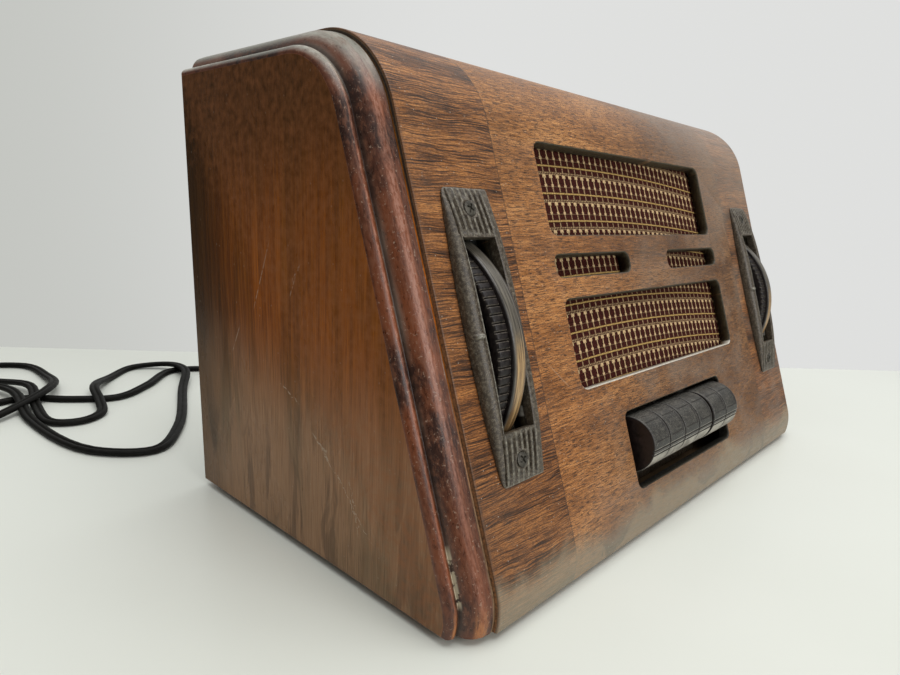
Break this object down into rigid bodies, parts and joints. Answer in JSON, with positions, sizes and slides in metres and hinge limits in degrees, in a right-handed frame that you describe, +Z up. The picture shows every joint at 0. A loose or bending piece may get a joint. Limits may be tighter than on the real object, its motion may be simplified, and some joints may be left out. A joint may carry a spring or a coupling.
{
  "type": "vintage table radio",
  "caption": "Slant-front wooden table radio with two edge-turned thumbwheels, a row of push buttons, cloth grilles and a mains cord.",
  "frame": {"origin": "middle of the cabinet's footprint, on the surface it stands on", "axes": "+Z up, -Y towards the front panel, +X to the right as seen from the front"},
  "size_m": [0.4835, 0.4561, 0.1885],
  "materials": {
    "side_wood": "gloss lacquer",
    "veneer": "satin",
    "raw_ply": "matte",
    "hardboard": "matte",
    "grille_cloth": "matte",
    "moulded": "satin",
    "dark_plastic": "satin",
    "button_plastic": "satin",
    "steel": "satin",
    "brass": "satin",
    "aluminium": "satin",
    "paper_cone": "matte",
    "valve_glass": "gloss",
    "bakelite": "gloss",
    "iron_core": "matte",
    "rubber": "matte",
    "felt": "matte"
  },
  "bodies": {
    "cabinet": {"side_board_left": "side_wood", "side_board_right": "side_wood", "front_shell": "veneer", "base_panel": "raw_ply", "speaker_baffle": "raw_ply", "back_cover": "hardboard", "grille_cloth": "grille_cloth", "escutcheon_left": "moulded", "escutcheon_right": "moulded", "back_screw_1": "steel", "back_screw_2": "steel", "back_screw_3": "steel", "back_screw_4": "steel", "escutcheon_screw_left_lower": "steel", "escutcheon_screw_left_upper": "steel", "escutcheon_screw_right_lower": "steel", "escutcheon_screw_right_upper": "steel", "volume_control": "steel", "chassis": "steel", "button_bracket": "steel", "plug_blade_1": "brass", "plug_blade_2": "brass", "tuning_condenser_frame": "aluminium", "if_transformer_can_1": "aluminium", "if_transformer_can_2": "aluminium", "speaker_cone": "paper_cone", "tube_1": "valve_glass", "tube_2": "valve_glass", "tube_3": "valve_glass", "tube_4": "valve_glass", "tube_5": "valve_glass", "tube_socket_1": "bakelite", "tube_socket_2": "bakelite", "tube_socket_3": "bakelite", "tube_socket_4": "bakelite", "tube_socket_5": "bakelite", "plug_body": "bakelite", "speaker_frame": "iron_core", "speaker_magnet": "iron_core", "output_transformer": "iron_core", "cord_grommet": "rubber", "mains_cord": "rubber", "cord_coil": "rubber", "cord_tail": "rubber", "foot_1": "felt", "foot_2": "felt", "foot_3": "felt", "foot_4": "felt"},
    "volume_wheel_body": {"volume_wheel": "dark_plastic", "volume_shaft": "steel"},
    "tuning_wheel_body": {"tuning_wheel": "dark_plastic", "tuning_shaft": "steel", "tuning_condenser_rotor": "aluminium"},
    "button_1": {"push_button_1": "button_plastic"},
    "button_2": {"push_button_2": "button_plastic"},
    "button_3": {"push_button_3": "button_plastic"},
    "button_4": {"push_button_4": "button_plastic"},
    "button_5": {"push_button_5": "button_plastic"},
    "button_6": {"push_button_6": "button_plastic"}
  },
  "joints": [
    {"name": "volume_turn", "type": "hinge", "parent": "cabinet", "child": "volume_wheel_body", "pos_m": [-0.123, -0.01998, 0.07926], "axis": [1, 0, 0], "range_deg": [0, 290]},
    {"name": "tuning_turn", "type": "hinge", "parent": "cabinet", "child": "tuning_wheel_body", "pos_m": [0.123, -0.01998, 0.07926], "axis": [1, 0, 0], "range_deg": [0, 180]},
    {"name": "button_1_press", "type": "slide", "parent": "cabinet", "child": "button_1", "axis": [0, 0.9379, -0.3469], "range_m": [0, 0.006], "stiffness_N_per_m": 250, "springref_m": -0.002},
    {"name": "button_2_press", "type": "slide", "parent": "cabinet", "child": "button_2", "axis": [0, 0.9379, -0.3469], "range_m": [0, 0.006], "stiffness_N_per_m": 250, "springref_m": -0.002},
    {"name": "button_3_press", "type": "slide", "parent": "cabinet", "child": "button_3", "axis": [0, 0.9379, -0.3469], "range_m": [0, 0.006], "stiffness_N_per_m": 250, "springref_m": -0.002},
    {"name": "button_4_press", "type": "slide", "parent": "cabinet", "child": "button_4", "axis": [0, 0.9379, -0.3469], "range_m": [0, 0.006], "stiffness_N_per_m": 250, "springref_m": -0.002},
    {"name": "button_5_press", "type": "slide", "parent": "cabinet", "child": "button_5", "axis": [0, 0.9379, -0.3469], "range_m": [0, 0.006], "stiffness_N_per_m": 250, "springref_m": -0.002},
    {"name": "button_6_press", "type": "slide", "parent": "cabinet", "child": "button_6", "axis": [0, 0.9379, -0.3469], "range_m": [0, 0.006], "stiffness_N_per_m": 250, "springref_m": -0.002}
  ]
}
